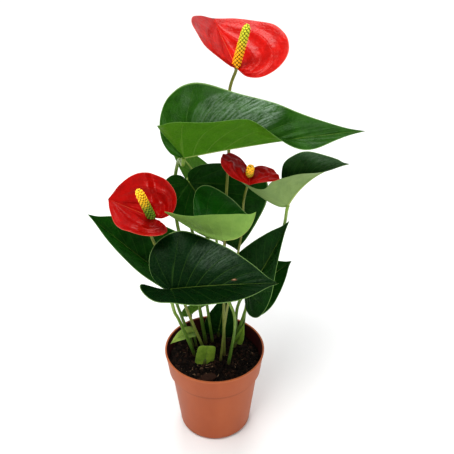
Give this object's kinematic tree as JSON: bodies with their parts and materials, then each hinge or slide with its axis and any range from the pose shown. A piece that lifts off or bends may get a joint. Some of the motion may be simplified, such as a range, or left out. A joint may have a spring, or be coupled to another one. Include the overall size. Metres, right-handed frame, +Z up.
{
  "type": "potted anthurium",
  "caption": "Anthurium with heart-shaped leaves on long stalks and red spathes round yellow-green spadices, growing in a round tapered plastic nursery pot.",
  "frame": {"origin": "centre of the flat disc under the pot, on the surface that it stands on", "axes": "+Z up along the pot's axis, the plant's front faces -Y and its right side is +X"},
  "size_m": [0.2864, 0.228, 0.507],
  "materials": {
    "pot": "thin moulded terracotta-coloured polypropylene with a satin surface",
    "soil": "dark crumbly peat with bark chunks",
    "leaf": "leathery dark green leaf, waxy above and matt below",
    "young_leaf": "soft light green young leaf",
    "flower_stalk": "smooth yellow-green stalk",
    "spathe": "waxy glossy red spathe with sunken and raised veins",
    "spadix": "fine knobbly golden yellow that turns green at one end"
  },
  "bodies": {
    "root": {"pot": "pot", "soil": "soil", "leaf_top": "leaf", "leaf_right_upper": "leaf", "leaf_back": "leaf", "leaf_centre": "leaf", "leaf_front": "leaf", "leaf_left": "leaf", "leaf_right": "leaf", "leaf_right_low": "leaf", "leaf_low": "leaf", "leaf_low_left": "leaf", "leaf_behind": "leaf", "leaf_young_left": "young_leaf", "leaf_young_front": "young_leaf", "leaf_young_right": "young_leaf", "flower_top_stalk": "flower_stalk", "flower_top_spathe": "spathe", "flower_top_spadix": "spadix", "flower_left_stalk": "flower_stalk", "flower_left_spathe": "spathe", "flower_left_spadix": "spadix", "flower_right_stalk": "flower_stalk", "flower_right_spathe": "spathe", "flower_right_spadix": "spadix"}
  },
  "joints": []
}
